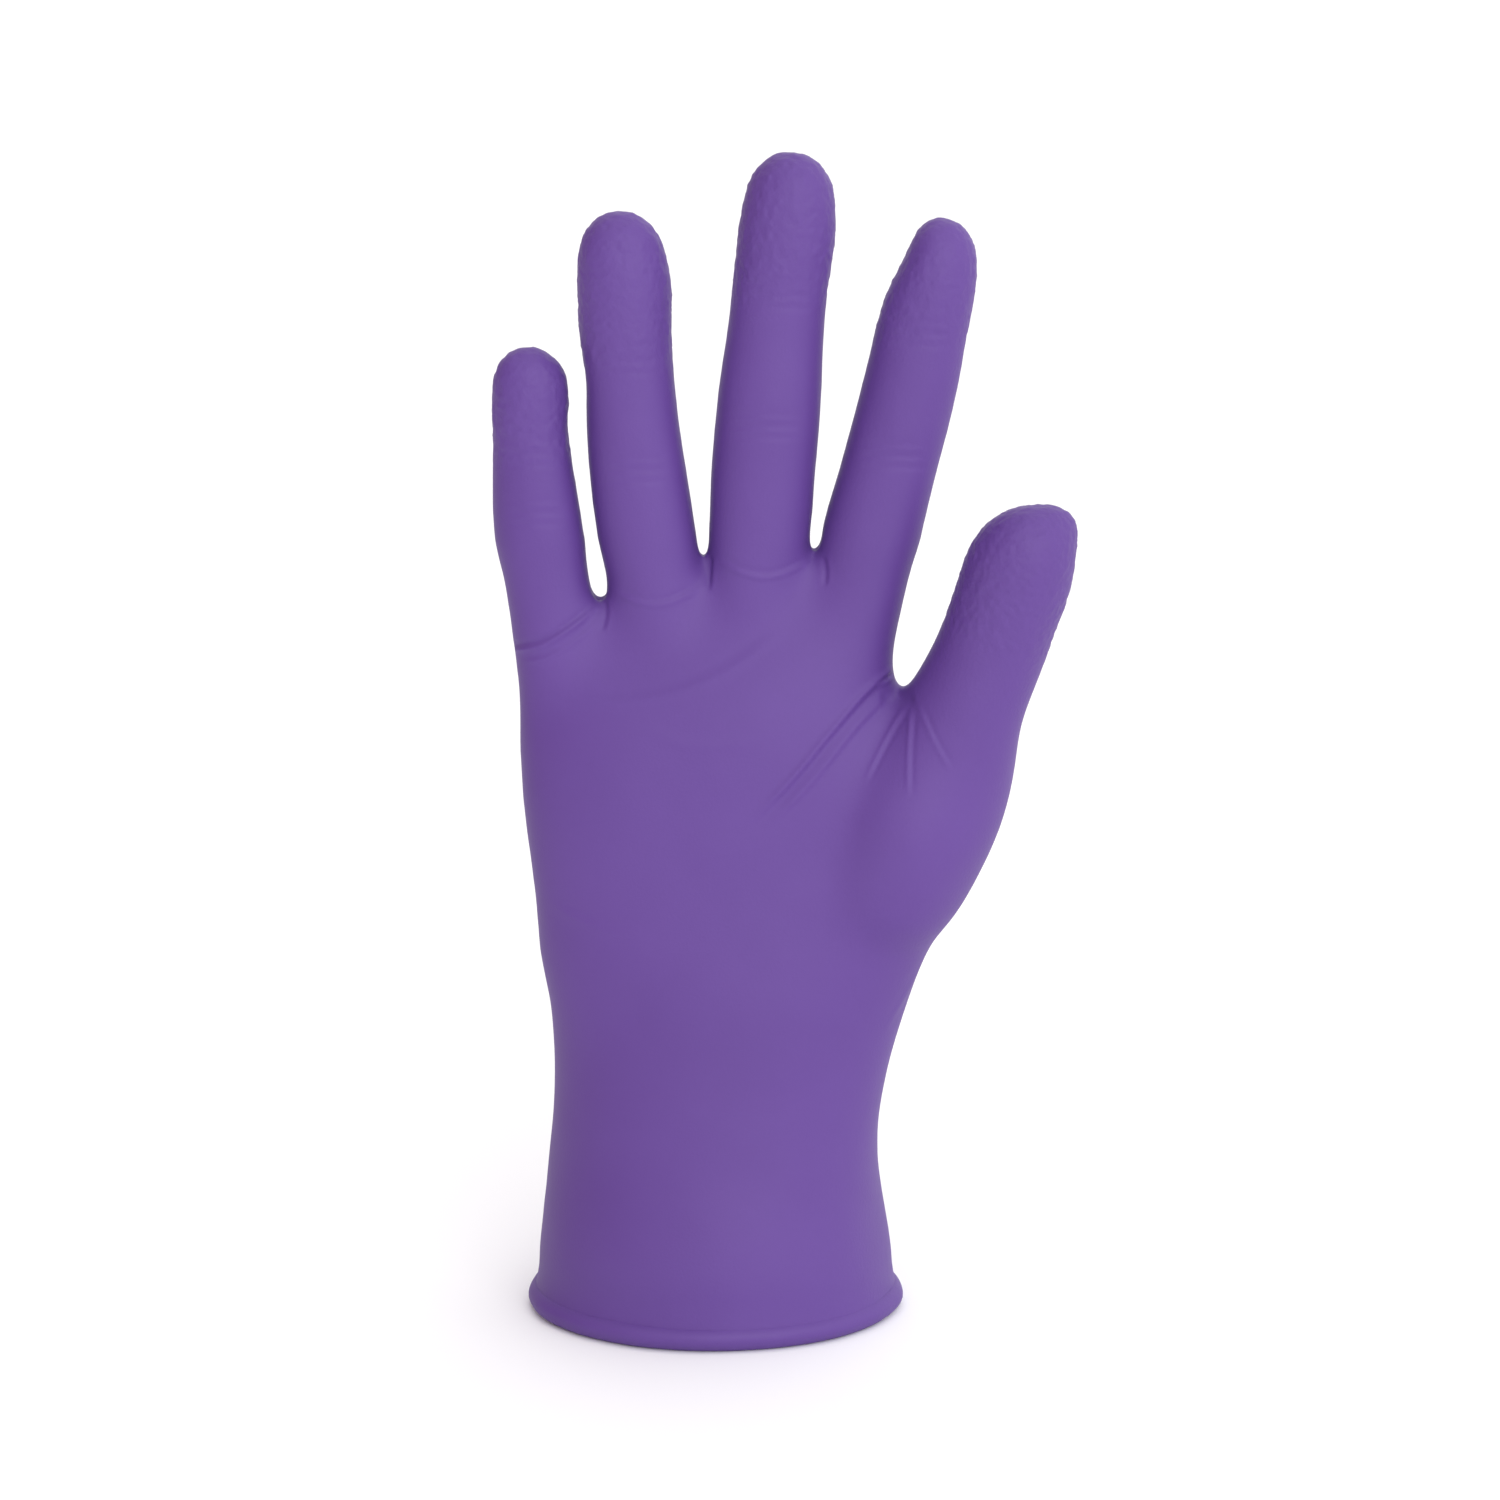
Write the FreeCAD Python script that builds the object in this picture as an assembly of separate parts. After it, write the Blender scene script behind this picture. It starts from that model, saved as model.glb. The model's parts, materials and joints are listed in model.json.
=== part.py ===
import FreeCAD, Part
import os
from math import copysign, cos, pi, radians, sin, tan

from FreeCAD import Vector

# A thin dipped glove for the right hand, filled out as if worn and standing on its rolled cuff.
#
# Millimetres.  +Z runs from the cuff to the fingertips, +X points to the thumb side and -Y is
# the palm side.  The origin is the centre of the cuff opening, on the plane it stands on.
#
# The real glove is one continuous film, so the film is modelled whole: an outer skin less the
# hand-shaped space inside it.  It is then divided where it bends.  Zones that keep their shape
# are separate pieces, and between them lie bend zones, wedges that are widest on the side that
# the film folds to, because that is the side that closes up.

# Film
CUFF_FILM = 0.10            # film thickness in the cuff
PALM_FILM = 0.13            # film thickness in the palm
FINGER_FILM = 0.15          # film thickness in the fingers and thumb

# Rolled bead round the cuff opening
BEAD_HEIGHT = 5.0
BEAD_PROUD = 2.3            # how far the bead stands out from the cuff
BEAD_INWARD = 1.3           # how far it stands into the opening
BEAD_FLAT = 0.55            # share of the bead's thickness that is flat under it
BEAD_WALL = 0.4             # the few turns of film that the hollow roll is made of

# Cuff and wrist
CUFF_WIDTH = 74.4           # just above the bead
CUFF_DEPTH = 58.0
CUFF_LENGTH = 62.0          # from the standing plane to the heel of the palm
WRIST_HEIGHT = CUFF_LENGTH * 0.726     # height of the narrowest place
WRIST_WIDTH = 68.2
WRIST_DEPTH = 48.0

# Palm
HEEL_WIDTH = 72.6           # at the top of the cuff
HEEL_DEPTH = 44.0
PALM_LENGTH = 92.2          # from the heel to the webs on the glove's centre plane
PALM_MIDDLE = CUFF_LENGTH + PALM_LENGTH * 0.466     # height of the widest place
PALM_TOP = CUFF_LENGTH + PALM_LENGTH
KNUCKLE_WIDTH = 79.6        # across the roots of the four fingers
PALM_WIDTH = KNUCKLE_WIDTH * 1.08
PALM_DEPTH = 35.0
WEB_SLOPE = 11.3            # degrees by which the row of webs rises towards the first finger
KNUCKLE_DEPTH = 25.0
KNUCKLE_TAPER = 0.8         # the roots' depth at the webs as a share of the depth below them
KNUCKLE_NARROWING = 4.0     # the film between the fingers ends this much short of their sides
WEB_DEPTH = 12.0            # the film between two fingers, front to back
HEEL_SWELL = 3.6            # extra width halfway from heel to palm, at the ball of the thumb
WAIST = 5.0                 # width lost halfway from palm to knuckles

# How far each section's centre lies towards the thumb
WRIST_SHIFT = 0.5
HEEL_SHIFT = 2.6
BALL_SHIFT = 5.6            # at the ball of the thumb
PALM_SHIFT = 4.9
WAIST_SHIFT = -1.6
KNUCKLE_SHIFT = -1.0
WEB_SHIFT = -1.2

# Share of the webs' slope that each section of the palm leans by
BALL_LEAN = 0.2
PALM_LEAN = 0.5
WAIST_LEAN = 0.8

# Digits
FLARE = 0.05                # growth of a finger's width for each millimetre down into the palm
ROUNDNESS = 2.15            # 2 is an ellipse, more is squarer
CUFF_ROUNDNESS = 2.0
WRIST_ROUNDNESS = 2.05
HEEL_ROUNDNESS = 2.1
BALL_ROUNDNESS = 2.25
PALM_ROUNDNESS = 2.5
TUBE_RINGS = 8              # sections along a digit, below its dome
DOME_SHARE = 0.62           # length of a fingertip's dome as a share of its width
DOME_STEPS = (0, 25, 48, 66, 80)   # degrees round a fingertip's dome
DOME_POWER = 0.9            # below 1 makes a fingertip blunter
SECTION_POINTS = 20         # points round each section

# Bends
BEND_STRIP = 0.8            # half the length of a bend zone on its stretched side
BEND_REACH = 1.2            # how far past the film a bend zone's wedge goes on
GAP_SHARE = 0.6             # how far up the shorter finger the gap beside it is sighted
GAP_BELOW = 20.0            # how far below the fingers' roots a gap line starts
WEB_BELOW = 12.0            # how far below the thumb's web the line beside it starts
FAR = 150.0                 # longer than any zone, for the planes that divide the film

# How far each joint turns, in degrees
BASE_FLEX = 60.0
MIDDLE_FLEX = 75.0
TIP_FLEX = 50.0
THUMB_SWING = 15.0
THUMB_FLEX = 30.0


class Digit:
    """A finger or the thumb: a centre line whose lean changes evenly from root to tip."""

    def __init__(self, name, root, lean, forward, length, buried, widths, depth, joints, curl=0):
        self.name = name
        self.root = root            # x, y, z where the digit leaves the palm
        self.lean = lean            # degrees to the thumb side, at the root and at the tip
        self.forward = forward      # how far the tip lies in front of the root
        self.length = length        # from root to tip
        self.buried = buried        # how far its shape goes on down inside the palm
        self.widths = widths        # (distance along, width) pairs, root first
        self.depth = depth          # depth as a share of width
        self.joints = joints        # distance along of each joint, root first
        self.curl = curl            # degrees to the thumb side that the plane it curls in leans

    def direction(self, s):
        share = max(s, 0.0) / self.length
        lean = radians(self.lean[0] + (self.lean[1] - self.lean[0]) * share)
        return Vector(sin(lean), 0, cos(lean))

    def point(self, s):
        """The centre line at a distance s from the root; below the root it is straight."""
        way = (self.direction(0) + self.direction(s)).normalize()
        drop = self.forward * max(s, 0.0) / self.length
        return Vector(*self.root) + way * s - Vector(0, drop, 0)

    def width(self, s):
        if s <= self.widths[0][0]:
            return self.widths[0][1] + FLARE * (self.widths[0][0] - s)
        for (a, wide_a), (b, wide_b) in zip(self.widths, self.widths[1:]):
            if s <= b:
                return wide_a + (wide_b - wide_a) * (s - a) / (b - a)
        return self.widths[-1][1]

    def edge(self, s, side):
        """The digit's outline at a distance s from the root, on its thumb side if side is 1."""
        across = Vector(0, 1, 0).cross(self.direction(s))
        return self.point(s) + across * side * self.width(s) / 2

    def solid(self, inset):
        """The digit as a closed rounded tube, with its surface moved in by inset."""
        dome = self.width(self.length) * DOME_SHARE
        shoulder = self.length - dome
        spacing = (shoulder + self.buried) / TUBE_RINGS
        rings = [(i * spacing - self.buried, 1.0, 0.0) for i in range(TUBE_RINGS)]
        for step in DOME_STEPS:
            rings.append((shoulder + dome * sin(radians(step)), cos(radians(step)) ** DOME_POWER, inset))
        wires = []
        for s, shrink, pull in rings:
            half = self.width(s) / 2
            side = Vector(0, 1, 0).cross(self.direction(s))
            centre = self.point(s) - self.direction(s) * pull
            wires.append(ring(centre, side, half * shrink - inset,
                              half * self.depth * shrink - inset, ROUNDNESS))
        return Part.makeLoft(wires, True, False, False, 3)


# Each digit: its root; its lean to the thumb side; how far its tip comes forward; its length and
# the length buried in the palm; its widths along it; its depth to its width; and its joints.
# The first finger curls in a leaning plane, so that its tip comes down clear of the thumb.
FINGERS = (
    Digit("little_finger", (-0.412 * KNUCKLE_WIDTH, 0, PALM_TOP - 6.2), (-9, -1), 3, 55.0, 30.0,
          ((0, 18.7), (20, 17.3), (36, 15.6), (55, 14.2)), 0.92, (6.5, 20.5, 32.5)),
    Digit("ring_finger", (-0.146 * KNUCKLE_WIDTH, 0, PALM_TOP - 1.9), (-9.5, -1), 3, 78.0, 32.0,
          ((0, 20.0), (25, 19.8), (47, 18.6), (78, 17.6)), 0.92, (9.0, 25.0, 47.0)),
    Digit("middle_finger", (0.112 * KNUCKLE_WIDTH, 0, PALM_TOP + 1.8), (2, 9), 3, 86.0, 34.0,
          ((0, 20.2), (30, 21.4), (52, 19.2), (86, 18.4)), 0.92, (9.0, 30.0, 56.0)),
    Digit("index_finger", (0.382 * KNUCKLE_WIDTH, 0, PALM_TOP + 2.8), (14, 10.5), 3, 73.2, 34.0,
          ((0, 20.4), (25, 19.2), (47, 18.6), (73, 17.4)), 0.92, (7.5, 23.5, 48.5),
          curl=7),
)
THUMB = Digit("thumb", (PALM_WIDTH / 2 + 5.4, -5, PALM_MIDDLE + 17.4), (24.5, 14), 8, 52.0, 43.0,
              ((-43, 22.0), (-32, 31.5), (-18, 34.0), (0, 27.5), (15, 23.6), (25, 22.2),
               (52, 21.4)), 1.0,
              (0.5, 18.0))
THUMB_WEB = (PALM_WIDTH / 2 - 5.2, PALM_MIDDLE + 27.0)     # x and z of the thumb's web
THUMB_OUTER = (PALM_WIDTH / 2 + 20.0, PALM_MIDDLE + 8.5)   # x and z of its root's outer side
THUMB_TURN = 90.0                 # degrees forward of straight across that the thumb tip bends


def ring(centre, side, half_width, half_depth, roundness):
    """A closed smooth section: a superellipse across side and the Y axis."""
    points = []
    for i in range(SECTION_POINTS):
        c = cos(2 * pi * i / SECTION_POINTS)
        s = sin(2 * pi * i / SECTION_POINTS)
        across = half_width * copysign(abs(c) ** (2 / roundness), c)
        deep = half_depth * copysign(abs(s) ** (2 / roundness), s)
        points.append(centre + side * across + Vector(0, deep, 0))
    curve = Part.BSplineCurve()
    curve.interpolate(Points=points, PeriodicFlag=True)
    return Part.Wire(curve.toShape())


def palm_solid(inset_cuff, inset_palm, drop):
    """Cuff, wrist and palm as one closed form, with its surface moved in by the insets."""
    lower_cuff = (2 * CUFF_WIDTH + WRIST_WIDTH) / 3
    ball_width = (HEEL_WIDTH + PALM_WIDTH) / 2 + HEEL_SWELL
    waist_width = (PALM_WIDTH + KNUCKLE_WIDTH) / 2 - WAIST
    web_width = KNUCKLE_WIDTH - KNUCKLE_NARROWING
    sections = (
        # height, centre x, width, depth, lean, roundness, inset
        (BEAD_HEIGHT, 0, CUFF_WIDTH, CUFF_DEPTH, 0, CUFF_ROUNDNESS, inset_cuff),
        (CUFF_LENGTH / 3, 0, lower_cuff, CUFF_DEPTH, 0, CUFF_ROUNDNESS, inset_cuff),
        (WRIST_HEIGHT, WRIST_SHIFT, WRIST_WIDTH, WRIST_DEPTH, 0, WRIST_ROUNDNESS, inset_cuff),
        (CUFF_LENGTH, HEEL_SHIFT, HEEL_WIDTH, HEEL_DEPTH, 0, HEEL_ROUNDNESS, inset_cuff),
        ((CUFF_LENGTH + PALM_MIDDLE) / 2, BALL_SHIFT, ball_width, (HEEL_DEPTH + PALM_DEPTH) / 2,
         BALL_LEAN, BALL_ROUNDNESS, inset_palm),
        (PALM_MIDDLE, PALM_SHIFT, PALM_WIDTH, PALM_DEPTH, PALM_LEAN, PALM_ROUNDNESS, inset_palm),
        ((PALM_MIDDLE + PALM_TOP) / 2, WAIST_SHIFT, waist_width,
         (PALM_DEPTH + KNUCKLE_DEPTH) / 2, WAIST_LEAN, PALM_ROUNDNESS, inset_palm),
        (PALM_TOP - WEB_DEPTH, KNUCKLE_SHIFT, KNUCKLE_WIDTH, KNUCKLE_DEPTH * KNUCKLE_TAPER, 1,
         PALM_ROUNDNESS, inset_palm),
        (PALM_TOP - drop, WEB_SHIFT, web_width, WEB_DEPTH, 1, PALM_ROUNDNESS, inset_palm),
    )
    wires = []
    for height, x, width, depth, lean, roundness, inset in sections:
        tilt = radians(WEB_SLOPE * lean)
        side = Vector(cos(tilt), 0, sin(tilt))
        wires.append(ring(Vector(x, 0, height), side, width / 2 - inset, depth / 2 - inset,
                          roundness))
    return Part.makeLoft(wires, True, False)


def whole_film():
    """The whole film above the bead: the outer skin less the space for the hand."""
    outer = palm_solid(0, 0, 0)
    inner = palm_solid(CUFF_FILM, PALM_FILM, PALM_FILM)
    for digit in FINGERS + (THUMB,):
        outer = outer.fuse(digit.solid(0))
        inner = inner.fuse(digit.solid(FINGER_FILM))
    return outer.cut(inner)


def bead_form(inset):
    """The rolled rim as a rounded ring with a flat underside, its surface moved in by inset."""
    def edge(reach):
        wires = []
        for degrees in range(-90, 91, 30):
            swell = BEAD_FLAT + (1 - BEAD_FLAT) * cos(radians(degrees))
            height = BEAD_HEIGHT / 2 + (BEAD_HEIGHT / 2 - inset) * sin(radians(degrees))
            wires.append(ring(Vector(0, 0, height), Vector(1, 0, 0),
                              CUFF_WIDTH / 2 + reach * swell, CUFF_DEPTH / 2 + reach * swell, 2.0))
        return Part.makeLoft(wires, True, False)
    return edge(BEAD_PROUD - inset).cut(edge(inset - BEAD_INWARD))


def bead():
    """The rolled rim, which is hollow as a loose roll of film is."""
    return bead_form(0).cut(bead_form(BEAD_WALL))


class Hinge:
    """A bend line: its place, its axis, the way along the digit and the way that it folds."""

    def __init__(self, place, along, fold, angle, half_depth):
        self.place = place
        self.along = along
        self.fold = fold
        self.axis = along.cross(fold)
        self.slope = tan(radians(angle / 2))
        self.reach = half_depth + BEND_REACH
        self.angle = angle

    def beyond(self, side):
        """Everything past the bend zone's near face (side -1) or past its far face (side 1)."""
        def spot(towards, up):
            return self.place + self.fold * towards + self.along * up - self.axis * FAR
        strip = side * BEND_STRIP
        deep = strip + side * self.slope * self.reach
        corners = [spot(-FAR, strip), spot(0, strip), spot(self.reach, deep), spot(FAR, deep),
                   spot(FAR, FAR), spot(-FAR, FAR)]
        return Part.Face(Part.makePolygon(corners + corners[:1])).extrude(self.axis * 2 * FAR)


def finger_hinges(digit):
    limits = (BASE_FLEX, MIDDLE_FLEX, TIP_FLEX)
    up = Vector(sin(radians(digit.curl)), 0, cos(radians(digit.curl)))
    return [Hinge(digit.point(s), up, Vector(0, -1, 0), angle, digit.width(s) * digit.depth / 2)
            for s, angle in zip(digit.joints, limits)]


def thumb_hinges():
    across = Vector(THUMB_OUTER[0] - THUMB_WEB[0], 0, THUMB_OUTER[1] - THUMB_WEB[1]).normalize()
    up = Vector(-across.z, 0, across.x)
    middle = Vector((THUMB_OUTER[0] + THUMB_WEB[0]) / 2, THUMB.root[1],
                    (THUMB_OUTER[1] + THUMB_WEB[1]) / 2)
    base = Hinge(middle, up, Vector(0, -1, 0), THUMB_SWING, THUMB.width(0) / 2)
    s = THUMB.joints[1]
    along = THUMB.direction(s)
    turn = radians(THUMB_TURN)
    fold = Vector(-cos(turn), -sin(turn), 0)
    fold = (fold - along * fold.dot(along)).normalize()
    return [base, Hinge(THUMB.point(s), along, fold, THUMB_FLEX, THUMB.width(s) / 2)]


def gap_line(left, right):
    """The line up the gap between two neighbouring fingers, as its lowest and highest points."""
    low = (left.edge(0, 1) + right.edge(0, -1)) / 2
    s = min(left.length, right.length) * GAP_SHARE
    high = (left.edge(s, 1) + right.edge(s, -1)) / 2
    way = (high - low).normalize()
    return low - way * GAP_BELOW, low + way * FAR


def lane(left_line, right_line):
    """The space between two gap lines, right through the glove from front to back."""
    corners = [left_line[0], right_line[0], right_line[1], left_line[1]]
    corners = [Vector(p.x, -FAR, p.z) for p in corners]
    return Part.Face(Part.makePolygon(corners + corners[:1])).extrude(Vector(0, 2 * FAR, 0))


def lanes():
    """One lane for each digit, little finger first."""
    little, ring_finger, middle, index = FINGERS
    web = Vector(THUMB_WEB[0], 0, THUMB_WEB[1])
    edge = (index.point(index.length) + THUMB.point(THUMB.length)) / 2
    way = (edge - web).normalize()
    cuts = [(Vector(-FAR, 0, little.root[2] - GAP_BELOW), Vector(-FAR, 0, 2 * FAR)),
            gap_line(little, ring_finger),
            gap_line(ring_finger, middle),
            gap_line(middle, index),
            (web - way * WEB_BELOW, web + way * FAR),
            (Vector(FAR, 0, CUFF_LENGTH), Vector(FAR, 0, 2 * FAR))]
    return [lane(a, b) for a, b in zip(cuts, cuts[1:])]


def divide(film, digit_lane, names, hinges):
    """Take one digit off the film and divide it at its bends; the rest of the film is returned.

    Specks of the palm that the digit's lane catches beside the web stay with the palm.
    """
    region = digit_lane.common(hinges[0].beyond(-1))
    digit = max(film.common(region).Solids, key=lambda solid: solid.Volume)
    rest = film.cut(digit)
    pieces = {}
    for name, hinge, following in zip(names, hinges, hinges[1:] + [None]):
        solid_zone = digit.common(hinge.beyond(1))
        pieces[name + "_bend"] = digit.cut(hinge.beyond(1))
        if following:
            pieces[name] = solid_zone.cut(following.beyond(-1))
            digit = solid_zone.common(following.beyond(-1))
        else:
            pieces[name] = solid_zone
    return pieces, rest


def joint_names(digit):
    parts = ("base", "middle", "tip") if len(digit.joints) == 3 else ("base", "tip")
    return [digit.name + "_" + part for part in parts]


def build():
    film = whole_film()
    pieces = {"cuff_bead": bead()}
    hinge_sets = [finger_hinges(digit) for digit in FINGERS] + [thumb_hinges()]
    for digit, digit_lane, hinges in zip(FINGERS + (THUMB,), lanes(), hinge_sets):
        names = joint_names(digit)
        digit_pieces, film = divide(film, digit_lane, names, hinges)
        pieces.update(digit_pieces)
        for name, hinge in zip(names, hinges):
            place = ", ".join("%.3f" % value for value in hinge.place)
            axis = ", ".join("%.5f" % value for value in hinge.axis)
            print("joint %s at (%s) about (%s) to %g" % (name, place, axis, hinge.angle))
    heel = Part.makeBox(2 * FAR, 2 * FAR, CUFF_LENGTH, Vector(-FAR, -FAR, 0))
    pieces["cuff"] = film.common(heel)
    pieces["palm"] = film.cut(heel)
    return pieces


os.makedirs("parts", exist_ok=True)
for node, shape in build().items():
    if len(shape.Solids) == 1:
        shape = shape.Solids[0]
    print(node, len(shape.Solids), "solid", shape.isValid(), "%.1f mm3" % shape.Volume)
    shape.exportStep("parts/" + node + ".step")
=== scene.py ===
import json
from math import cos, pi, radians, sin

import bpy
import numpy as np
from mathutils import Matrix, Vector

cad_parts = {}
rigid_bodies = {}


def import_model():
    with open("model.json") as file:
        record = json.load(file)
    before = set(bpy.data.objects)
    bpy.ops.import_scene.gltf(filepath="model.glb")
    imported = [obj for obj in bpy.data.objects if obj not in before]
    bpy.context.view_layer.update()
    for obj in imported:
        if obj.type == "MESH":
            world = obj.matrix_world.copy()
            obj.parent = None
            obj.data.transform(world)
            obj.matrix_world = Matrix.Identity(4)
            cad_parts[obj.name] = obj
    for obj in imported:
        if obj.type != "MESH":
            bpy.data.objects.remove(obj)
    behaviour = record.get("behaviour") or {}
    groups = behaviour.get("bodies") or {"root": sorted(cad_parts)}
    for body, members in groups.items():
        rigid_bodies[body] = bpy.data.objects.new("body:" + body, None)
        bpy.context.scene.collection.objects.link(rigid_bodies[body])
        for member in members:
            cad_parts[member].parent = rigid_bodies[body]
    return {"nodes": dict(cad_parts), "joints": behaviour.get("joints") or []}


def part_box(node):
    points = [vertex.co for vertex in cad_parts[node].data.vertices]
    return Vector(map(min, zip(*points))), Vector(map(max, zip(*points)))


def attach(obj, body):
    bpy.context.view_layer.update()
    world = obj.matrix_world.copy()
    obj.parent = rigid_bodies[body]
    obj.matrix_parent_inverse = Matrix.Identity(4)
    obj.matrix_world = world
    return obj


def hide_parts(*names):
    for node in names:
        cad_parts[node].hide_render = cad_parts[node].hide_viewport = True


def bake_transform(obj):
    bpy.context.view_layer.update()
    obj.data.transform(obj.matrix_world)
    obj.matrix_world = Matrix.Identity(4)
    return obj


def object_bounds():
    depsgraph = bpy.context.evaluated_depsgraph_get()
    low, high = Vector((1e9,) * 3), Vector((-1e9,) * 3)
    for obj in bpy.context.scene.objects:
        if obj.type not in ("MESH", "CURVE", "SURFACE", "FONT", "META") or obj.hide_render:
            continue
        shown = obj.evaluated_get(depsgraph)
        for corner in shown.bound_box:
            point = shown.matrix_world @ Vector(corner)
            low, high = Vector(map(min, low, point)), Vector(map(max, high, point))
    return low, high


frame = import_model()
CAD_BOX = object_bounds()
JOINTS = {joint["child"]: joint for joint in frame["joints"]}
FINGERS = ("little_finger", "ring_finger", "middle_finger", "index_finger")

# Everything is in metres.
VOXEL = 0.0009              # grid that the film's skin is first made on
FILM = 0.00016              # film thickness
BEAD_THICK = 0.0019         # half the thickness of the rolled bead
SLACK_SIZE = 0.017          # spacing of the film's gentle unevenness
SLACK_HEIGHT = 0.00022
PINCH_SIZE = 0.0018         # the sharp end of the gap between two fingers
PINCH_DEPTH = 0.0016
THUMB_SIDE = 1.25           # first finger's radii from its middle line to the thumb's film
THUMB_CLEAR = 0.0127        # distance from that line to the texture on the thumb
GRAIN_SIZE = 0.0010         # spacing of the raised texture on the fingertips
GRAIN_HEIGHT = 0.00014
WEB_MARGIN = 0.0006         # how far above the webs a finger may start to bend
BEND_SPREAD = 0.75          # half length of a bend, per radian and per radius of the finger
PLUG_INSET = 0.0021         # from the bead's outside to the plug that closes the cuff
CUFF_EDGE = 0.0012          # the lowest ring of the skin, which closes the cuff
ROLL_IN = 0.0032            # height inside the bead where the cuff's film ends
FLARE_TOP = 0.0105          # height where the film starts to flare out to the bead
FLARE = 0.034               # how much wider the film is where it meets the bead, as a share


# ---------------------------------------------------------------- mesh helpers

def link(name, mesh):
    thing = bpy.data.objects.new(name, mesh)
    bpy.context.scene.collection.objects.link(thing)
    return thing


def points_of(mesh):
    flat = np.empty(len(mesh.vertices) * 3)
    mesh.vertices.foreach_get("co", flat)
    return flat.reshape(-1, 3)


def quads_of(mesh):
    flat = np.empty(len(mesh.loops), dtype=np.int64)
    mesh.loops.foreach_get("vertex_index", flat)
    return flat.reshape(-1, 4)


def changed_by(mesh, kind, **settings):
    """The mesh after one modifier."""
    thing = link("worked", mesh)
    modifier = thing.modifiers.new("step", kind)
    for key, value in settings.items():
        setattr(modifier, key, value)
    depsgraph = bpy.context.evaluated_depsgraph_get()
    result = bpy.data.meshes.new_from_object(thing.evaluated_get(depsgraph))
    bpy.data.objects.remove(thing)
    return result


def mesh_from(points, faces):
    mesh = bpy.data.meshes.new("film")
    mesh.from_pydata(points.tolist(), [], faces.tolist())
    return mesh


def edges_of(quads):
    pairs = np.concatenate([quads[:, [i, (i + 1) % 4]] for i in range(4)])
    return np.unique(np.sort(pairs, axis=1), axis=0)


def smoothed(points, edges, rounds, amount):
    """Each point moved towards the middle of its neighbours, by its own amount."""
    count = len(points)
    a, b = edges[:, 0], edges[:, 1]
    degree = np.bincount(a, minlength=count) + np.bincount(b, minlength=count)
    share = (amount / np.maximum(degree, 1))[:, None]
    points = points.copy()
    for _ in range(rounds):
        total = np.empty_like(points)
        for axis in range(3):
            total[:, axis] = (np.bincount(a, points[b, axis], count)
                              + np.bincount(b, points[a, axis], count))
        points += share * (total - degree[:, None] * points)
    return points


def normals_of(points, quads):
    across = points[quads[:, 2]] - points[quads[:, 0]]
    down = points[quads[:, 3]] - points[quads[:, 1]]
    face = np.cross(across, down)
    total = np.empty_like(points)
    for axis in range(3):
        total[:, axis] = sum(np.bincount(quads[:, i], face[:, axis], len(points))
                             for i in range(4))
    return total / np.maximum(np.linalg.norm(total, axis=1), 1e-12)[:, None]


def ramp(value, start, end):
    """0 before start, 1 after end and smooth between."""
    t = np.clip((value - start) / (end - start), 0, 1)
    return t * t * (3 - 2 * t)


# ---------------------------------------------------------------- places, from the frame

def place_of(body):
    return np.array(JOINTS[body]["pos_m"])


def radius_of(body):
    low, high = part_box(body)
    return (high[1] - low[1]) / 2


def digit_line(digit):
    """The digit's joints in the glove's plane, and one point further on past its tip."""
    names = [name for name in JOINTS if name.startswith(digit)]
    points = [place_of(name)[[0, 2]] for name in names]
    low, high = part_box(names[-1])
    points.append(np.array([(low[0] + high[0]) / 2, high[2]]))
    return np.array(points)


def line_at(digit, height):
    """x of the digit's middle line at these heights; it runs on straight past its ends."""
    line = digit_line(digit)
    x = np.interp(height, line[:, 1], line[:, 0])
    lean = (line[1, 0] - line[0, 0]) / (line[1, 1] - line[0, 1])
    return np.where(height < line[0, 1], line[0, 0] + (height - line[0, 1]) * lean, x)


PALM_LOW = np.array(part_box("palm")[0])
CUFF_LOW, CUFF_HIGH = [np.array(corner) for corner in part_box("cuff")]
BEAD_LOW, BEAD_HIGH = [np.array(corner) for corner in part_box("cuff_bead")]
KNUCKLE_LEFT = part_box("little_finger_base")[0][0]
KNUCKLE_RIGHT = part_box("index_finger_base")[1][0]
KNUCKLE_TOP = place_of("middle_finger_base")[2]


def palm_at(across, up):
    """A place on the palm: across from the little finger's side to the first finger's, and up
    from the heel to the middle finger's root, both from 0 to 1."""
    x = KNUCKLE_LEFT + (KNUCKLE_RIGHT - KNUCKLE_LEFT) * across
    z = PALM_LOW[2] + (KNUCKLE_TOP - PALM_LOW[2]) * up
    return np.array([x, z])


# ---------------------------------------------------------------- the whole skin

def joined_film():
    """All the film's CAD nodes in one mesh, with a plug in the cuff so that it is closed."""
    points, faces, start = [], [], 0
    for name, node in frame["nodes"].items():
        if name == "cuff_bead":
            continue
        own = points_of(node.data)
        node.data.calc_loop_triangles()
        tris = np.empty(len(node.data.loop_triangles) * 3, dtype=np.int64)
        node.data.loop_triangles.foreach_get("vertices", tris)
        points.append(own)
        faces += (tris.reshape(-1, 3) + start).tolist()
        start += len(own)
    count = 96
    half = (BEAD_HIGH - BEAD_LOW) / 2 - PLUG_INSET
    for height in (CUFF_LOW[2] - VOXEL, CUFF_LOW[2] + VOXEL):
        turn = np.arange(count) * 2 * pi / count
        points.append(np.stack([half[0] * np.cos(turn), half[1] * np.sin(turn),
                                np.full(count, height)], axis=1))
    low = list(range(start, start + count))
    high = list(range(start + count, start + 2 * count))
    faces += [low[::-1], high]
    faces += [[low[i - 1], low[i], high[i], high[i - 1]] for i in range(count)]
    mesh = bpy.data.meshes.new("film")
    mesh.from_pydata(np.concatenate(points).tolist(), [], faces)
    return mesh


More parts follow.
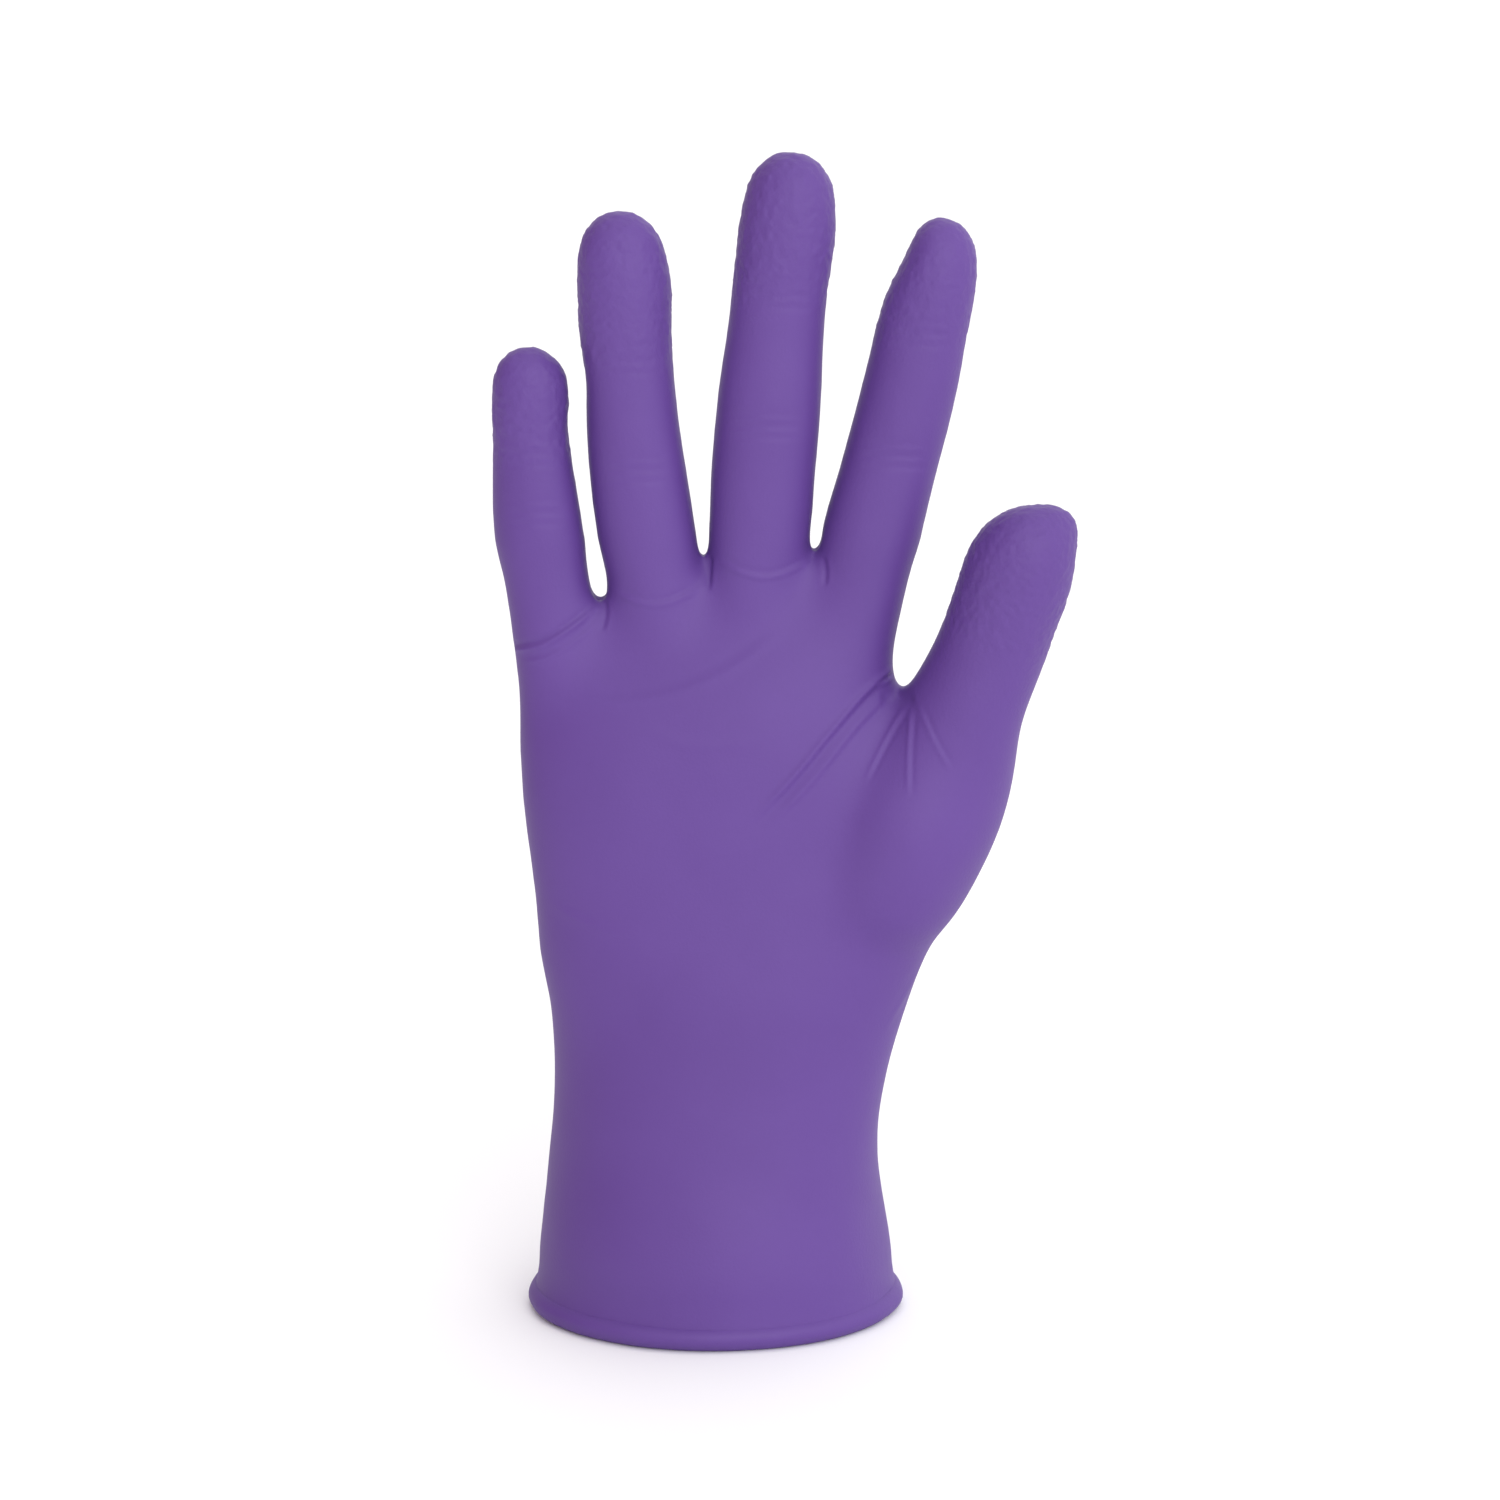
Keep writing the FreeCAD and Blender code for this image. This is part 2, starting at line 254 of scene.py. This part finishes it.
def coarse_skin():
    """The outer skin on an even grid, with the finger roots and webs softened as stretched
    film softens them."""
    mesh = changed_by(joined_film(), "REMESH", mode="VOXEL", voxel_size=VOXEL)
    points, quads = points_of(mesh), quads_of(mesh)
    edges = edges_of(quads)
    points = smoothed(points, edges, 6, np.full(len(points), 0.6))
    z = points[:, 2]
    soft = ramp(z, PALM_LOW[2] - 0.02, PALM_LOW[2] + 0.01)
    soft *= 1 - ramp(z, KNUCKLE_TOP - 0.010, KNUCKLE_TOP - 0.001)
    soft *= 1 - ramp(points[:, 0], KNUCKLE_RIGHT + 0.004, KNUCKLE_RIGHT + 0.018)
    points = smoothed(points, edges, 60, 0.7 * soft)
    return points, quads


def fine_skin():
    points, quads = coarse_skin()
    mesh = mesh_from(points, quads)
    mesh = changed_by(mesh, "SUBSURF", levels=1, render_levels=1)
    return points_of(mesh), quads_of(mesh)


# ---------------------------------------------------------------- shaping

def swell(points, centre, radius, shift):
    """Moves the skin near centre by shift, fading out over radius."""
    away = np.linalg.norm(points - np.array(centre), axis=1) / radius
    return points + np.exp(-away ** 2)[:, None] * np.array(shift)


def curve_through(corners, count=28):
    """A smooth line through a few corners."""
    corners = np.array(corners)
    padded = np.vstack([2 * corners[0] - corners[1], corners, 2 * corners[-1] - corners[-2]])
    result = []
    for i in range(1, len(padded) - 2):
        a, b, c, d = padded[i - 1:i + 3]
        for t in np.arange(count) / count:
            result.append(0.5 * (2 * b + (c - a) * t + (2 * a - 5 * b + 4 * c - d) * t ** 2
                                 + (3 * b - a - 3 * c + d) * t ** 3))
    result.append(corners[-1])
    return np.array(result)


def along_curve(flat, line):
    """For points in the glove's plane: signed distance from a line and how far along it they
    are, from 0 to 1."""
    best = np.full(len(flat), np.inf)
    signed = np.zeros(len(flat))
    share = np.zeros(len(flat))
    total = len(line) - 1
    for i in range(total):
        way = line[i + 1] - line[i]
        length = np.linalg.norm(way)
        if length < 1e-9:
            continue
        way = way / length
        off = flat - line[i]
        t = np.clip(off @ way, 0, length)
        gap = off - t[:, None] * way
        distance = np.linalg.norm(gap, axis=1)
        closer = distance < best
        side = np.where(way[0] * off[:, 1] - way[1] * off[:, 0] < 0, -1, 1)
        best = np.where(closer, distance, best)
        signed = np.where(closer, side * distance, signed)
        share = np.where(closer, (i + t / length) / total, share)
    return signed, share


def fold(points, normals, corners, width, height, lip=0.5, front=True, ends=0.25):
    """A crease in the film: a rounded ridge along a line with a shallow groove beside it. lip
    is the groove's depth as a share of the ridge, on the left of the line's direction."""
    line = curve_through(corners)
    reach = 5 * width
    low, high = line.min(axis=0) - reach, line.max(axis=0) + reach
    flat = points[:, [0, 2]]
    facing = normals[:, 1] < 0.15 if front else normals[:, 1] > -0.15
    near = np.flatnonzero((flat > low).all(axis=1) & (flat < high).all(axis=1) & facing)
    if not len(near):
        return points
    signed, share = along_curve(flat[near], line)
    rise = np.exp(-(signed / width) ** 2)
    rise -= lip * np.exp(-((signed - 1.6 * width) / (1.1 * width)) ** 2)
    fade = ramp(share, 0, ends) * (1 - ramp(share, 1 - ends, 1))
    facing_fade = ramp(np.abs(normals[near, 1]), 0.1, 0.4)
    points = points.copy()
    points[near] += normals[near] * (height * rise * fade * facing_fade)[:, None]
    return points


def lattice_noise(points, size, seed):
    """Smooth random values from -1 to 1 on a grid of the given size."""
    cell = np.floor(points / size).astype(np.int64)
    part = points / size - cell
    part = part * part * (3 - 2 * part)
    total = np.zeros(len(points))
    for corner in range(8):
        step = np.array([corner & 1, corner >> 1 & 1, corner >> 2 & 1])
        place = cell + step
        mixed = (place[:, 0] * 73856093) ^ (place[:, 1] * 19349663) ^ (place[:, 2] * 83492791)
        mixed = (mixed ^ seed * 9781) & 0x7FFFFFFF
        mixed = (mixed * 1103515245 + 12345) & 0x7FFFFFFF
        mixed = ((mixed >> 9) * 69069 + 1) & 0x7FFFFFFF
        value = (mixed >> 8) / float(0x7FFFFF) * 2 - 1
        weight = np.prod(np.where(step == 1, part, 1 - part), axis=1)
        total += weight * value
    return total


def rolled_in(points):
    """Carries the cuff's film down into the bead, flaring out to it."""
    points = points.copy()
    z = points[:, 2]
    lowest = CUFF_LOW[2] + CUFF_EDGE
    share = np.clip((FLARE_TOP - z) / (FLARE_TOP - lowest), 0, None)
    points[:, :2] *= (1 + FLARE * np.minimum(share, 1) ** 2)[:, None]
    points[:, 2] = np.where(share > 0, FLARE_TOP - share * (FLARE_TOP - ROLL_IN), z)
    return points


def digit_grain(points, normals):
    """The fine raised texture on each fingertip, from its last joint to its end."""
    owner = digit_of(points)
    amount = np.zeros(len(points))
    for i, digit in enumerate(FINGERS):
        joint = place_of(digit + "_tip")
        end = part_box(digit + "_tip")[1][2]
        past = ramp(points[:, 2], joint[2] - 0.004, joint[2] + 0.004)
        amount = np.where(owner == i, past * (end > joint[2]), amount)
    thumb_joint, thumb_base = place_of("thumb_tip"), place_of("thumb_base")
    way = (thumb_joint - thumb_base) / np.linalg.norm(thumb_joint - thumb_base)
    beside = points[:, 0] > line_at("index_finger", points[:, 2]) + THUMB_CLEAR
    past = ramp((points - thumb_joint) @ way, 0.002, 0.010)
    amount = np.where(beside & (points[:, 2] < place_of("index_finger_tip")[2]), past, amount)
    grain = lattice_noise(points, GRAIN_SIZE, 3)
    return points + normals * (GRAIN_HEIGHT * amount * grain)[:, None]


def shaped_skin():
    points, quads = fine_skin()
    for centre, radius, shift in SWELLS:
        points = swell(points, centre, radius, shift)
    normals = normals_of(points, quads)
    for web in finger_webs(points, normals):
        points = swell(points, web, PINCH_SIZE, (0, 0, -PINCH_DEPTH))
        points = swell(points, web + (0, 0, PINCH_SIZE), PINCH_SIZE, (0, 0, -PINCH_DEPTH / 2))
    normals = normals_of(points, quads)
    slack = lattice_noise(points, SLACK_SIZE, 1) + 0.5 * lattice_noise(points, SLACK_SIZE / 2, 2)
    points = points + normals * (SLACK_HEIGHT * slack)[:, None]
    for corners, width, height, lip in CREASES:
        places = [palm_at(*corner) for corner in corners]
        points = fold(points, normals, places, width, height, lip)
    for body in JOINTS:
        if body.startswith("thumb") or body.endswith("base"):
            continue
        spot, reach = place_of(body), radius_of(body) * 0.9
        for front in (True, False):
            for rise, height in JOINT_LINES:
                line = [(spot[0] + reach * step, spot[2] + rise + 0.0006 * (1 - step * step))
                        for step in (-1, -0.5, 0, 0.5, 1)]
                points = fold(points, normals, line, 0.0005, -height, -0.6, front, ends=0.3)
    for corners, width, height, lip in BACK_CREASES:
        places = [palm_at(*corner) for corner in corners]
        points = fold(points, normals, places, width, height, lip, front=False)
    normals = normals_of(points, quads)
    return digit_grain(points, normals), quads


# Creases on the palm side: corners on the palm, half width, height, and groove share. A
# negative height is a furrow.
CREASES = (
    (((0.020, 0.763), (0.058, 0.773), (0.108, 0.787), (0.179, 0.825), (0.243, 0.868)),
     0.00060, 0.00055, 0.5),   # the root of the little finger
    (((0.048, 0.745), (0.115, 0.761), (0.186, 0.797), (0.238, 0.835)),
     0.00050, 0.00020, 0.5),   # below it
    (((0.255, 0.888), (0.368, 0.868), (0.481, 0.902)),
     0.00060, 0.00028, 0.6),   # under the ring finger
    (((0.497, 0.949), (0.615, 0.922), (0.735, 0.955)),
     0.00060, 0.00028, 0.6),   # under the middle finger
    (((0.486, 0.961), (0.483, 0.930), (0.481, 0.886)),
     0.00060, -0.00050, 0.2),   # below the web between them
    (((0.245, 0.870), (0.248, 0.843), (0.238, 0.807)),
     0.00055, -0.00035, 0.2),   # below the web of the little finger
    (((0.739, 0.961), (0.746, 0.932), (0.744, 0.898)),
     0.00055, -0.00035, 0.2),   # below the web of the first finger
    (((0.962, 0.747), (0.856, 0.707), (0.762, 0.627), (0.663, 0.527), (0.556, 0.432)),
     0.00080, 0.00050, 0.7),   # the ridge round the ball of the thumb
    (((0.899, 0.693), (0.816, 0.631), (0.710, 0.523), (0.615, 0.438)),
     0.00070, 0.00025, 0.7),   # beside it
    (((0.937, 0.683), (0.883, 0.607), (0.829, 0.519)),
     0.00050, 0.00022, 0.8),   # from the thumb web
    (((0.941, 0.679), (0.933, 0.593), (0.931, 0.498)),
     0.00050, 0.00024, 0.8),   # from the thumb web
    (((0.953, 0.683), (0.989, 0.613), (1.033, 0.547)),
     0.00050, 0.00020, 0.8),   # from the thumb web
    (((0.856, 0.699), (0.908, 0.715), (0.960, 0.739)),
     0.00050, 0.00040, 0.9),   # at the first finger
    (((0.866, 0.683), (0.913, 0.683), (0.951, 0.691)),
     0.00160, -0.00055, 0.0),   # the hollow under it
    (((1.106, 0.238), (1.012, 0.105), (0.917, -0.061)),
     0.00090, 0.00026, 0.6),   # at the wrist
    (((1.065, 0.248), (0.975, 0.125), (0.876, -0.009)),
     0.00080, 0.00016, 0.6),   # at the wrist
    (((0.101, 0.269), (0.232, 0.228), (0.376, 0.218)),
     0.00120, 0.00014, 0.6),   # on the heel
    (((0.331, 0.623), (0.473, 0.599), (0.615, 0.613)),
     0.00140, 0.00012, 0.5),   # across the palm
    (((0.142, 0.683), (0.331, 0.683), (0.520, 0.739), (0.686, 0.843)),
     0.00120, 0.00014, 0.5),   # across the palm
)

# Faint slack on the back of the hand.
BACK_CREASES = (
    (((0.05, 0.86), (0.18, 0.90), (0.30, 0.89)), 0.0009, 0.00022, 0.7),
    (((0.33, 0.90), (0.45, 0.93), (0.58, 0.92)), 0.0009, 0.00020, 0.7),
    (((0.60, 0.93), (0.72, 0.94), (0.86, 0.90)), 0.0009, 0.00022, 0.7),
    (((0.92, 0.66), (0.80, 0.58), (0.66, 0.46)), 0.0010, 0.00028, 0.7),
    (((0.94, 0.64), (0.86, 0.54), (0.78, 0.40)), 0.0008, 0.00018, 0.7),
    (((0.18, 0.00), (0.36, -0.05), (0.52, -0.06)), 0.0012, 0.00022, 0.6),
    (((0.60, 0.06), (0.74, 0.00), (0.84, -0.10)), 0.0010, 0.00020, 0.6),
)

# Where the film creases at a finger's joint: height from the joint, and depth.
JOINT_LINES = ((-0.0012, 0.00016), (0.0010, 0.00022), (0.0034, 0.00012))

# Where the film stands fuller or tighter than the CAD form: centre, reach and shift.
SWELLS = (
    ((0.061, -0.004, 0.109), 0.0120, (0.0012, 0, 0)),
    ((0.047, -0.005, 0.088), 0.0100, (0.0012, 0, 0)),
    ((-0.0385, 0, 0.105), 0.0200, (-0.0009, 0, 0)),
    ((-0.0335, 0, 0.076), 0.0120, (-0.0011, 0, 0)),
    ((-0.041, -0.001, 0.165), 0.0120, (-0.0007, 0, 0)),
    ((0.034, -0.01, 0.05), 0.0140, (0.0009, 0, 0)),
    ((0.037, -0.01, 0.018), 0.0110, (-0.0012, 0, 0)),
    ((0.0385, -0.003, 0.222), 0.0090, (0.0027, 0, 0)),
    ((0.0405, -0.002, 0.198), 0.0160, (0.0007, 0, 0)),
    ((-0.0125, -0.002, 0.215), 0.0100, (0.001, 0, 0)),
    ((0.0165, -0.003, 0.236), 0.0100, (-0.0008, 0, 0)),
    ((-0.03, -0.002, 0.196), 0.0070, (0.001, 0, 0)),
    ((0.059, -0.01, 0.156), 0.0150, (-0.0014, 0, 0)),
    ((0.066, -0.006, 0.127), 0.0100, (-0.0013, 0, 0)),
    ((0.07, -0.012, 0.169), 0.0070, (0.0004, 0, 0.0018)),
    ((0.0755, -0.012, 0.169), 0.0050, (0.0018, 0, 0.002)),
)


# ---------------------------------------------------------------- pieces

def piece_from(name, points, normals, quads, film):
    """A piece of film with both its surfaces and its edges, shaded as part of the whole."""
    used, local = np.unique(quads, return_inverse=True)
    outer = local.reshape(-1, 4)
    count = len(used)
    inner = outer[:, ::-1] + count
    pairs = np.concatenate([outer[:, [i, (i + 1) % 4]] for i in range(4)])
    key = np.sort(pairs, axis=1)
    order = key[:, 0] * count + key[:, 1]
    _, first, times = np.unique(order, return_index=True, return_counts=True)
    rim = pairs[first[times == 1]]
    rim_quads = np.stack([rim[:, 1], rim[:, 0], rim[:, 0] + count, rim[:, 1] + count], axis=1)
    own, own_normals = points[used], normals[used]
    both = np.concatenate([own, own - own_normals * film])
    faces = np.concatenate([outer, inner, rim_quads])
    mesh = mesh_from(both, faces)
    mesh.polygons.foreach_set("use_smooth", np.ones(len(faces), dtype=bool))
    shading = np.concatenate([own_normals, -own_normals])[faces]
    rim_faces = both[rim_quads]
    flat = np.cross(rim_faces[:, 2] - rim_faces[:, 0], rim_faces[:, 3] - rim_faces[:, 1])
    flat /= np.maximum(np.linalg.norm(flat, axis=1), 1e-12)[:, None]
    shading[len(outer) + len(inner):] = flat[:, None, :]
    mesh.normals_split_custom_set(shading.reshape(-1, 3).tolist())
    mesh.update()
    return link(name, mesh)


def web_point(points, normals, low, high):
    """The top of the web inside a box in the glove's plane: the highest skin that faces up."""
    x, z = points[:, 0], points[:, 2]
    inside = (x > low[0]) & (x < high[0]) & (z > low[1]) & (z < high[1])
    web = np.flatnonzero(inside & (normals[:, 2] > 0.8))
    best = web[np.argmax(z[web])]
    return points[best]


def finger_webs(points, normals):
    """The web between each two neighbouring fingers."""
    webs = []
    for left, right in zip(FINGERS, FINGERS[1:]):
        a, b = place_of(left + "_base"), place_of(right + "_base")
        ra, rb = radius_of(left + "_base"), radius_of(right + "_base")
        share = ra / (ra + rb)
        x = a[0] + (b[0] - a[0]) * share
        webs.append(web_point(points, normals, (x - 0.003, KNUCKLE_TOP - 0.025),
                              (x + 0.003, max(a[2], b[2]))))
    return webs


def way_along(body, fold=(0.0, -1.0, 0.0)):
    """The direction along a digit at one of its joints."""
    way = np.cross(np.array(fold), np.array(JOINTS[body]["axis"]))
    return way / np.linalg.norm(way)


def bend_zones(points, normals):
    """For each body of the fingers: how far before and after its joint its zone reaches, from the
    length that a bend over its whole range would take.
    """
    webs = finger_webs(points, normals)
    beside = {"little_finger": webs[:1], "ring_finger": webs[:2],
              "middle_finger": webs[1:], "index_finger": webs[2:]}
    zones = {}
    for digit in FINGERS:
        names = [name for name in JOINTS if name.startswith(digit)]
        halves = [BEND_SPREAD * radians(JOINTS[n]["range_deg"][1]) * radius_of(n) for n in names]
        first = place_of(names[0])
        bottom = max((web - first) @ way_along(names[0]) for web in beside[digit]) + WEB_MARGIN
        for i, name in enumerate(names):
            low = max(-halves[i], bottom)
            high = halves[i]
            if i + 1 < len(names):
                gap = (place_of(names[i + 1]) - place_of(name)) @ way_along(name)
                high = min(high, (high + gap - halves[i + 1]) / 2)
                bottom = high - gap
            zones[name] = (low, high)
    return zones


def digit_of(points):
    """For each point, the number of the digit that it belongs to; the thumb is the last."""
    best = np.full(len(points), np.inf)
    owner = np.zeros(len(points), dtype=int)
    for i, digit in enumerate(FINGERS):
        away = np.abs(points[:, 0] - line_at(digit, points[:, 2])) / radius_of(digit + "_base")
        owner = np.where(away < best, i, owner)
        best = np.minimum(away, best)
    return owner


def divided(points, quads, normals):
    """All the pieces of film, each with its parent body and the two ends of the zone about its
    joint.
    """
    middle = points[quads].mean(axis=1)
    zones = bend_zones(points, normals)
    plan = []
    base, tip = place_of("thumb_base"), place_of("thumb_tip")
    base_way = way_along("thumb_base")
    tip_way = way_along("thumb_tip", np.cross(JOINTS["thumb_tip"]["axis"], tip - base))
    web = web_point(points, normals, (base[0] - 0.017, base[2] - 0.004),
                    (base[0] - 0.007, tip[2]))
    start = max((web - base) @ base_way + WEB_MARGIN, 0)
    half_tip = BEND_SPREAD * radians(JOINTS["thumb_tip"]["range_deg"][1]) * radius_of("thumb_tip")
    ahead = (middle - base) @ base_way
    past_tip = (middle - tip) @ tip_way
    index_x = line_at("index_finger", middle[:, 2]) + radius_of("index_finger_base") * THUMB_SIDE
    thumb = (ahead > start) & (middle[:, 0] > index_x)
    tip_part = thumb & (past_tip > -half_tip)
    base_end = (tip - base) @ base_way - half_tip
    plan.append(("thumb_base", thumb & ~tip_part, "root",
                 base + base_way * start, base + base_way * base_end))
    plan.append(("thumb_tip", tip_part, "thumb_base",
                 tip - tip_way * half_tip, tip + tip_way * half_tip))
    taken = thumb.copy()
    owner = digit_of(middle)
    for i, digit in enumerate(FINGERS):
        names = [name for name in JOINTS if name.startswith(digit)]
        mine = (owner == i) & ~thumb
        for k, name in enumerate(names):
            low, high = zones[name]
            spot, way = place_of(name), way_along(name)
            part = mine & ((middle - spot) @ way > low)
            if k == 0:
                taken |= part
            if k + 1 < len(names):
                following = names[k + 1]
                beyond = (middle - place_of(following)) @ way_along(following)
                part &= beyond <= zones[following][0]
            plan.append((name, part, JOINTS[name]["parent"], spot + way * low, spot + way * high))
    return plan, taken, middle


def make_film():
    points, quads = shaped_skin()
    keep = points[quads][:, :, 2].min(axis=1) > CUFF_LOW[2] + CUFF_EDGE
    quads = quads[keep]
    points = rolled_in(points)
    normals = normals_of(points, quads)
    plan, taken, middle = divided(points, quads, normals)
    pieces = {}
    for name, part, parent, start, end in plan:
        piece = piece_from(name + "_skin", points, normals, quads[part], FILM)
        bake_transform(piece)
        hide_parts(name, name + "_bend")
        pieces[name] = piece
    rest = ~taken
    height = middle[:, 2]
    cuff_top = CUFF_HIGH[2]
    heel_top = (CUFF_HIGH[2] + KNUCKLE_TOP) / 2
    for name, part in (("cuff_skin", height <= cuff_top),
                       ("heel_skin", (height > cuff_top) & (height <= heel_top)),
                       ("palm_skin", height > heel_top)):
        piece = piece_from(name, points, normals, quads[rest & part], FILM)
        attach(piece, "root")
        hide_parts("cuff" if name == "cuff_skin" else "palm")
        pieces[name] = piece
    return pieces


# ---------------------------------------------------------------- bead

def make_bead():
    """The rolled rim: a soft roll of film whose thickness wanders a little round the cuff."""
    around, rows = 300, 32
    half = (BEAD_HIGH - BEAD_LOW) / 2
    tall = half[2]
    points, faces = [], []
    for i in range(around):
        turn = 2 * pi * i / around
        uneven = 0.00012 * sin(3 * turn + 1) + 0.00010 * sin(7 * turn + 2)
        uneven += 0.00006 * sin(17 * turn + 4)
        thick = BEAD_THICK + uneven
        for k in range(rows):
            roll = 2 * pi * k / rows
            groove = 0.00014 * cos(3 * roll + 0.6 + 0.8 * sin(turn))
            out = (thick + groove) * cos(roll)
            up = max((tall + groove) * sin(roll), -tall)
            x = (half[0] - BEAD_THICK + out) * cos(turn)
            y = (half[1] - BEAD_THICK + out) * sin(turn)
            points.append((x, y, tall + up))
    for i in range(around):
        for k in range(rows):
            a = i * rows + k
            b = ((i + 1) % around) * rows + k
            c = ((i + 1) % around) * rows + (k + 1) % rows
            d = i * rows + (k + 1) % rows
            faces.append((a, b, c, d))
    mesh = bpy.data.meshes.new("bead")
    mesh.from_pydata(points, [], faces)
    mesh.polygons.foreach_set("use_smooth", [True] * len(faces))
    bead = link("bead_roll", mesh)
    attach(bead, "root")
    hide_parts("cuff_bead")
    return bead


# ---------------------------------------------------------------- materials

def nitrile(name, grain_height, grain_size):
    material = bpy.data.materials.new(name)
    material.use_nodes = True
    nodes, links = material.node_tree.nodes, material.node_tree.links
    shader = nodes["Principled BSDF"]
    shader.inputs["Roughness"].default_value = 0.55
    shader.inputs["Specular IOR Level"].default_value = 0.35
    place = nodes.new("ShaderNodeTexCoord")
    cloud = nodes.new("ShaderNodeTexNoise")
    cloud.inputs["Scale"].default_value = 22
    cloud.inputs["Detail"].default_value = 4
    links.new(place.outputs["Object"], cloud.inputs["Vector"])
    colours = nodes.new("ShaderNodeValToRGB")
    colours.color_ramp.elements[0].position = 0.3
    colours.color_ramp.elements[0].color = (0.101, 0.043, 0.238, 1)
    colours.color_ramp.elements[1].position = 0.7
    colours.color_ramp.elements[1].color = (0.113, 0.051, 0.262, 1)
    links.new(cloud.outputs["Fac"], colours.inputs["Fac"])
    links.new(colours.outputs["Color"], shader.inputs["Base Color"])
    grain = nodes.new("ShaderNodeTexNoise")
    grain.inputs["Scale"].default_value = 1 / grain_size
    grain.inputs["Detail"].default_value = 3
    links.new(place.outputs["Object"], grain.inputs["Vector"])
    bump = nodes.new("ShaderNodeBump")
    bump.inputs["Distance"].default_value = grain_height
    bump.inputs["Strength"].default_value = 1.0
    links.new(grain.outputs["Fac"], bump.inputs["Height"])
    links.new(bump.outputs["Normal"], shader.inputs["Normal"])
    return material


def paint(pieces, bead):
    smooth = nitrile("film", 0.00004, 0.0006)
    tip = nitrile("film_textured", 0.0001, 0.0007)
    for name, piece in pieces.items():
        piece.data.materials.append(tip if name.endswith("_tip") else smooth)
    bead.data.materials.append(smooth)


# ---------------------------------------------------------------- stage

FLOOR_SIZE = 6.0
FLOOR_GAP = 0.00005         # keeps the floor just clear of the bead
WORLD_STRENGTH = 1.34
KEY_PLACE = (0.3, -0.9, 0.45)    # from the middle of the glove
KEY_POWER = 3.0
KEY_SIZE = 0.7
CAMERA_TARGET = (0.0074, 0, 0.1195)
CAMERA_DISTANCE = 0.800
CAMERA_TILT = 12            # degrees above the horizon
CAMERA_LENS = 93.35


def make_stage():
    low, high = [Vector(corner) for corner in CAD_BOX]
    centre = (low + high) / 2
    mesh = bpy.data.meshes.new("floor")
    mesh.from_pydata([(x * FLOOR_SIZE, y * FLOOR_SIZE, 0) for x, y in
                      ((-1, -1), (1, -1), (1, 1), (-1, 1))], [], [(0, 1, 2, 3)])
    floor = link("floor", mesh)
    floor.location.z = low.z - FLOOR_GAP
    material = bpy.data.materials.new("floor")
    material.use_nodes = True
    shader = material.node_tree.nodes["Principled BSDF"]
    shader.inputs["Base Color"].default_value = (0.95, 0.95, 0.96, 1)
    shader.inputs["Roughness"].default_value = 0.9
    floor.data.materials.append(material)

    # The room is darker and warmer at the left, but plain white where the camera sees it.
    world = bpy.data.worlds.new("studio")
    bpy.context.scene.world = world
    world.use_nodes = True
    nodes, links = world.node_tree.nodes, world.node_tree.links
    way = nodes.new("ShaderNodeTexCoord")
    split = nodes.new("ShaderNodeSeparateXYZ")
    links.new(way.outputs["Generated"], split.inputs["Vector"])
    tone = nodes.new("ShaderNodeValToRGB")
    tone.color_ramp.elements[0].position = 0.0
    tone.color_ramp.elements[0].color = (0.16, 0.05, 0.05, 1)
    tone.color_ramp.elements[1].position = 0.43
    tone.color_ramp.elements[1].color = (1, 1, 1, 1)
    level = nodes.new("ShaderNodeMapRange")
    level.inputs["From Min"].default_value = -1
    level.inputs["From Max"].default_value = 1
    links.new(split.outputs["X"], level.inputs["Value"])
    links.new(level.outputs["Result"], tone.inputs["Fac"])
    path = nodes.new("ShaderNodeLightPath")
    seen = nodes.new("ShaderNodeMix")
    seen.data_type = "RGBA"
    seen.inputs[7].default_value = (1, 1, 1, 1)
    links.new(path.outputs["Is Camera Ray"], seen.inputs[0])
    links.new(tone.outputs["Color"], seen.inputs[6])
    links.new(seen.outputs[2], nodes["Background"].inputs["Color"])
    nodes["Background"].inputs["Strength"].default_value = WORLD_STRENGTH

    lamp = bpy.data.lights.new("key", "AREA")
    lamp.energy = KEY_POWER
    lamp.size = KEY_SIZE
    key = link("key", lamp)
    key.location = centre + Vector(KEY_PLACE)
    key.rotation_euler = (-Vector(KEY_PLACE)).to_track_quat("-Z", "Y").to_euler()

    tilt = radians(CAMERA_TILT)
    data = bpy.data.cameras.new("camera")
    data.lens = CAMERA_LENS
    data.sensor_width = 36
    camera = link("camera", data)
    target = Vector(CAMERA_TARGET)
    camera.location = target + Vector((0, -cos(tilt), sin(tilt))) * CAMERA_DISTANCE
    camera.rotation_euler = (target - camera.location).to_track_quat("-Z", "Y").to_euler()
    bpy.context.scene.camera = camera
    bpy.context.scene.view_settings.view_transform = "Standard"


make_stage()
film = make_film()
bead = make_bead()
paint(film, bead)
